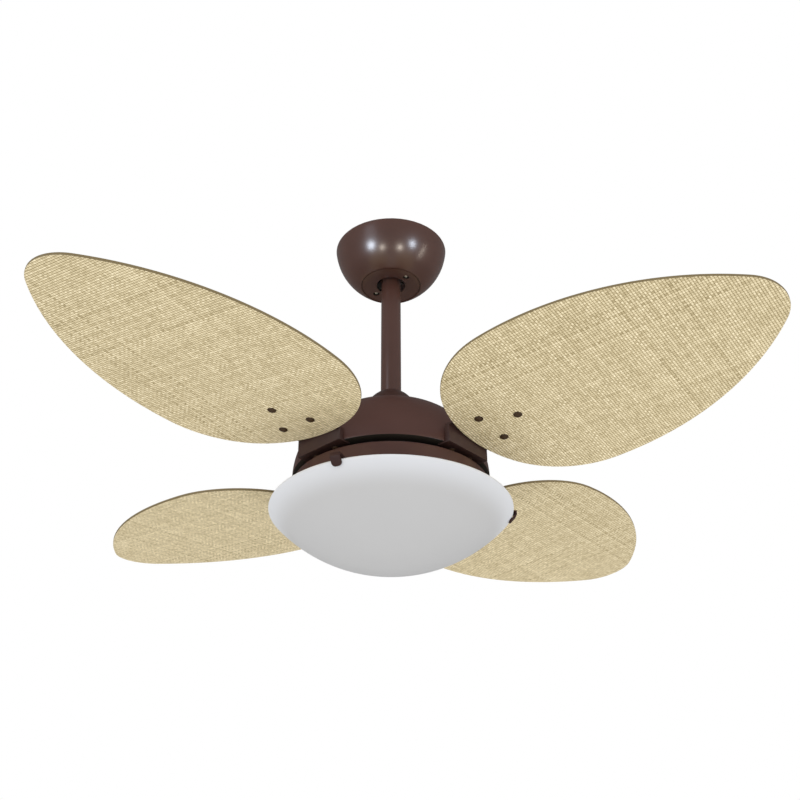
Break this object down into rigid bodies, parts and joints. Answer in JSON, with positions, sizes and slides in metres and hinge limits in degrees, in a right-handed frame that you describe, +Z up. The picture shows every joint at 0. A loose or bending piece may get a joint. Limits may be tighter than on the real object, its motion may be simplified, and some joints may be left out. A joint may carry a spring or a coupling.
{
  "type": "ceiling fan with light",
  "caption": "Ceiling fan on a short downrod: leaf-shaped woven-straw blades on a domed turning motor, with a shallow opal glass lamp bowl held by claws.",
  "frame": {"origin": "on the fan's axis, at the ceiling face of the bracket", "axes": "+Z up along the downrod, X along the bracket's two ceiling holes and the hanger bolt; a blade points along each of +X, +Y, -X and -Y"},
  "size_m": [1.066, 1.066, 0.476],
  "materials": {
    "brown_paint": "semi-gloss dark brown paint",
    "brown_screw": "dark brown lacquered heads",
    "woven_straw": "fine straw-coloured basket weave over a thin panel",
    "opal_glass": "satin opal white",
    "zinc_steel": "zinc plated",
    "bright_screw": "bright plated heads",
    "bearing_steel": "ground",
    "lamination": "stacked sheet",
    "copper_wire": "enamelled copper",
    "cast_aluminium": "die cast",
    "black_rubber": "matt",
    "white_plastic": "moulded, also stands for the lamp holders' porcelain",
    "black_plastic": "moulded",
    "frosted_bulb": "frosted"
  },
  "bodies": {
    "ceiling_mount": {"ceiling_bracket": "zinc_steel", "hanger_bolt": "zinc_steel", "hanger_nut": "zinc_steel", "cotter_pin": "zinc_steel", "hanger_bushes": "black_rubber", "canopy": "brown_paint", "canopy_screws": "bright_screw", "terminal_block": "white_plastic"},
    "rotor": {"motor_housing": "brown_paint", "rotor_bottom_cover": "cast_aluminium", "rotor_ring": "cast_aluminium", "rotor_ring_screws": "zinc_steel", "upper_bearing_outer_ring": "bearing_steel", "lower_bearing_outer_ring": "bearing_steel", "arm_screws": "brown_screw", "blade_screws": "brown_screw", "blade_nuts": "zinc_steel", "blade_arm_1": "brown_paint", "blade_arm_2": "brown_paint", "blade_arm_3": "brown_paint", "blade_arm_4": "brown_paint", "blade_1": "woven_straw", "blade_2": "woven_straw", "blade_3": "woven_straw", "blade_4": "woven_straw"},
    "sprung_claw": {"claw_1": "brown_paint"},
    "hanging_frame": {"downrod": "brown_paint", "motor_cup": "brown_paint", "light_pan": "brown_paint", "claw_2": "brown_paint", "claw_3": "brown_paint", "glass_bowl": "opal_glass", "coupling_bolt": "zinc_steel", "coupling_nut": "zinc_steel", "cup_grub_screw": "zinc_steel", "motor_shaft": "zinc_steel", "pan_nut": "zinc_steel", "lamp_bracket": "zinc_steel", "lamp_bracket_screws": "zinc_steel", "claw_rivets": "zinc_steel", "claw_spring": "zinc_steel", "upper_bearing_inner_ring": "bearing_steel", "upper_bearing_balls": "bearing_steel", "lower_bearing_inner_ring": "bearing_steel", "lower_bearing_balls": "bearing_steel", "stator_core": "lamination", "stator_windings": "copper_wire", "lamp_holder_1": "white_plastic", "lamp_holder_2": "white_plastic", "capacitor": "black_plastic", "bulb_1": "frosted_bulb", "bulb_2": "frosted_bulb"}
  },
  "joints": [
    {"name": "hanger_swing", "type": "hinge", "parent": "ceiling_mount", "child": "hanging_frame", "pos_m": [0, 0, -0.028], "axis": [1, 0, 0], "range_deg": [-6, 6]},
    {"name": "rotor_spin", "type": "hinge", "parent": "hanging_frame", "child": "rotor", "pos_m": [0, 0, -0.318], "axis": [0, 0, 1], "continuous": true},
    {"name": "claw_release", "type": "slide", "parent": "hanging_frame", "child": "sprung_claw", "axis": [0.3256, -0.9455, 0], "range_m": [0, 0.008], "stiffness_N_per_m": 800, "springref_m": -0.004, "deforming": ["claw_spring"]}
  ]
}
